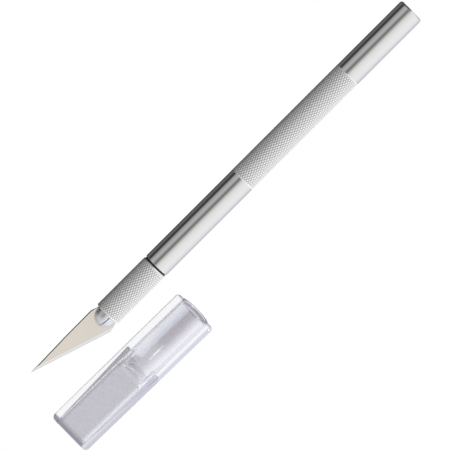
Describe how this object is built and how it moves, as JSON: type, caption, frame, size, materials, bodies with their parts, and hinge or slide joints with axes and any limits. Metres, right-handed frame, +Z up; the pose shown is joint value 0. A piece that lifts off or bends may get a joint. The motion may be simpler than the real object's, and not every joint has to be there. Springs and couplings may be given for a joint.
{
  "type": "hobby craft knife",
  "caption": "Slim round craft knife with a knurled aluminium grip, screw collar, split collet, pointed replaceable blade and clear safety cap.",
  "frame": {"origin": "centre of the flat rear face of the handle", "axes": "+X along the knife's axis and out of the rear face, so the blade points along -X; +Z up from the table that the knife and its cap lie on; +Y on the side of the blade's spine"},
  "size_m": [0.1535, 0.0281, 0.0127],
  "materials": {
    "handle": "turned and satin polished, with a fine diamond knurl in the middle",
    "collar": "fine diamond knurl over its full length",
    "collet": "polished",
    "blade": "satin carbon steel with a ground cutting bevel",
    "safety_cap": "clear moulded plastic with a frosted flat on each side of the front"
  },
  "bodies": {
    "handle": {"handle": "handle"},
    "collar": {"collar": "collar"},
    "collet": {"collet": "collet"},
    "blade": {"blade": "blade"},
    "safety_cap": {"safety_cap": "safety_cap"}
  },
  "joints": [
    {"name": "collar_turn", "type": "hinge", "parent": "handle", "child": "collar", "pos_m": [-0.1116, 0, 0], "axis": [-1, 0, 0], "range_deg": [0, 720]},
    {"name": "collet_draw", "type": "slide", "parent": "collar", "child": "collet", "axis": [-1, 0, 0], "range_m": [0, 0.001]},
    {"name": "blade_pull", "type": "slide", "parent": "collet", "child": "blade", "axis": [-1, 0, 0], "range_m": [0, 0.018]},
    {"name": "cap_carry", "type": "slide", "parent": "handle", "child": "safety_cap", "axis": [-0.9757, 0.2189, 0], "range_m": [0, 0.0772]}
  ],
  "couplings": [
    {"joint": "collar_turn", "follows": "collet_draw", "rad_per_m": 12566}
  ]
}
